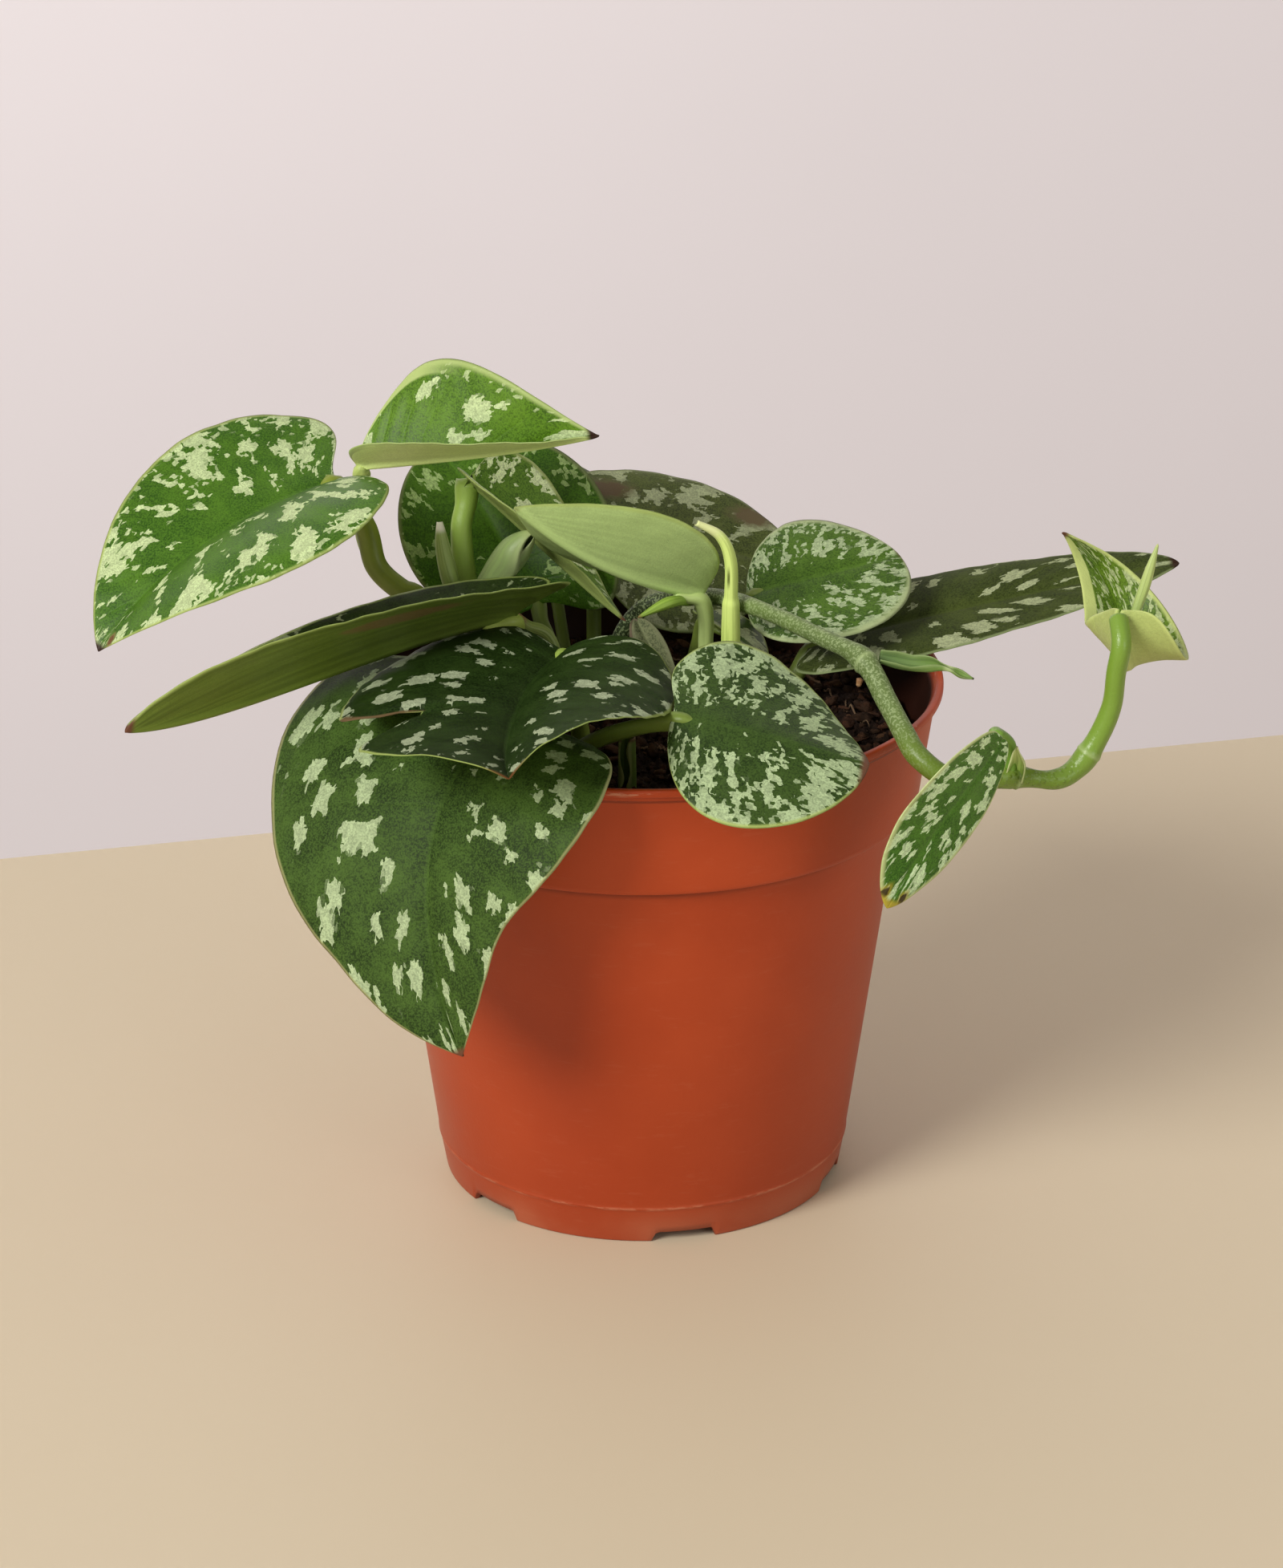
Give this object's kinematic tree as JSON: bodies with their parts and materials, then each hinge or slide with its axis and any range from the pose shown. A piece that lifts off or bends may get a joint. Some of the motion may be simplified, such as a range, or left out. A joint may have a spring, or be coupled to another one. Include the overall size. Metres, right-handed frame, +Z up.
{
  "type": "potted satin pothos",
  "caption": "House plant with silver-marked, heart-shaped leaves on fleshy stalks, and one long shoot over the rim, growing in a round plastic nursery pot.",
  "frame": {"origin": "centre of the flat pad under the pot's floor, on the plane that the pot stands on, on the pot's axis", "axes": "+Z up along the pot's axis, -Y towards the front of the plant, +X to the right, towards the long shoot"},
  "size_m": [0.1949, 0.1537, 0.1501],
  "materials": {
    "pot_plastic": "satin moulded plastic, terracotta orange",
    "potting_mix": "dark crumbly bark and peat mix",
    "leaf_blade": "satin green blade with silver blotches",
    "leaf_stalk": "smooth fleshy green stem",
    "sheath": "thin pale yellow-green sheath",
    "dry_leaf": "dry brown leaf",
    "root_tip": "orange root tip"
  },
  "bodies": {
    "root": {"pot": "pot_plastic", "potting_soil": "potting_mix", "leaf_far_left": "leaf_blade", "leaf_top": "leaf_blade", "leaf_long_left": "leaf_blade", "leaf_draped": "leaf_blade", "leaf_torn_front": "leaf_blade", "leaf_round_front": "leaf_blade", "leaf_centre": "leaf_blade", "leaf_folded": "leaf_blade", "leaf_dark_back": "leaf_blade", "leaf_brown_back": "leaf_blade", "leaf_far_back": "leaf_blade", "leaf_right_heart": "leaf_blade", "leaf_long_right": "leaf_blade", "leaf_rolled_right": "leaf_blade", "leaf_hanging_right": "leaf_blade", "leaf_low_centre": "leaf_blade", "leaf_dry_strip": "dry_leaf", "leaf_dry_curled": "dry_leaf", "stalk_far_left": "leaf_stalk", "stalk_top": "leaf_stalk", "stalk_long_left": "leaf_stalk", "stalk_draped": "leaf_stalk", "stalk_torn_front": "leaf_stalk", "stalk_round_front": "leaf_stalk", "stalk_centre": "leaf_stalk", "stalk_folded": "leaf_stalk", "stalk_dark_back": "leaf_stalk", "stalk_brown_back": "leaf_stalk", "stalk_far_back": "leaf_stalk", "stalk_right_heart": "leaf_stalk", "stalk_long_right": "leaf_stalk", "stalk_low_centre": "leaf_stalk", "stalk_hanging_right": "leaf_stalk", "stalk_dry_strip": "dry_leaf", "runner": "leaf_stalk", "sheath_hooked": "sheath", "sheath_dark_back": "sheath", "sheath_folded": "sheath", "sheath_runner": "sheath", "young_leaf_rolled": "sheath", "spike_centre": "sheath", "spike_rolled_right": "sheath", "stub_front": "sheath", "root_nub": "root_tip"}
  },
  "joints": []
}
